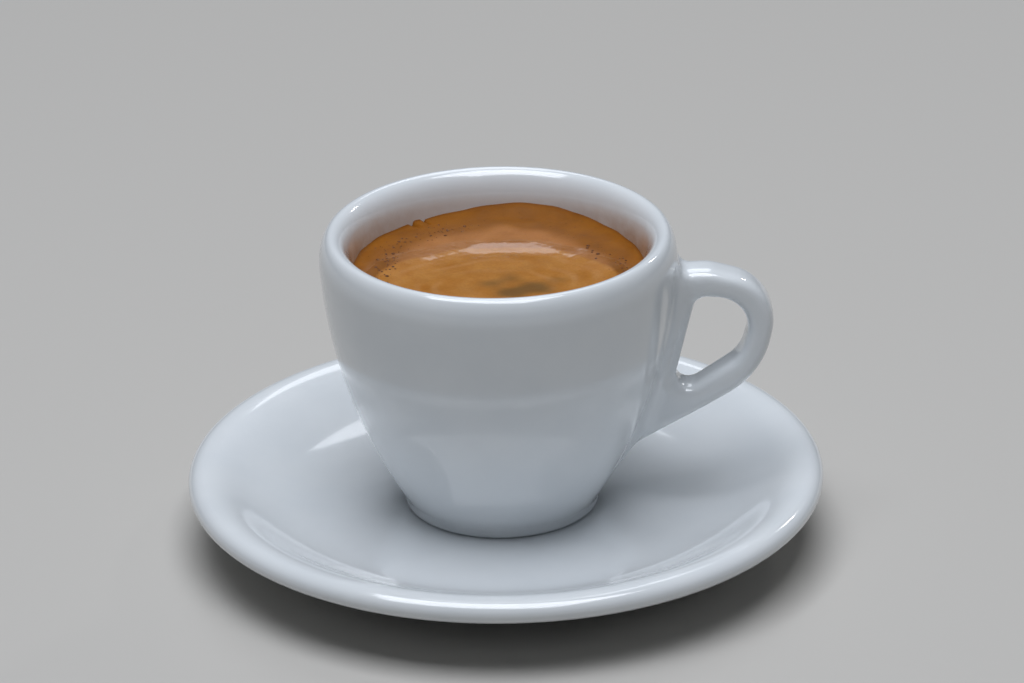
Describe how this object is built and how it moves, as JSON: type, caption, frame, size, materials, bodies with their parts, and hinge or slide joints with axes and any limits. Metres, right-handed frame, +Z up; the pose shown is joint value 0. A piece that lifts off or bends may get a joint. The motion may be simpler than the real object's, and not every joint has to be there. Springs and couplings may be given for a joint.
{
  "type": "espresso shot",
  "caption": "Espresso with crema in a thick-walled white porcelain cup with a loop handle, standing on its round saucer.",
  "frame": {"origin": "centre of the saucer's foot ring, on the surface it stands on", "axes": "+Z up through the saucer, +X towards the cup's handle"},
  "size_m": [0.12, 0.12, 0.0623],
  "materials": {
    "saucer_porcelain": "clear gloss glaze, cool white",
    "cup_porcelain": "clear gloss glaze, cool white",
    "coffee": "wet, nearly black brown liquid",
    "crema": "moist golden brown foam, soft sheen"
  },
  "bodies": {
    "root": {"saucer": "saucer_porcelain", "cup": "cup_porcelain", "coffee": "coffee", "crema": "crema"}
  },
  "joints": []
}
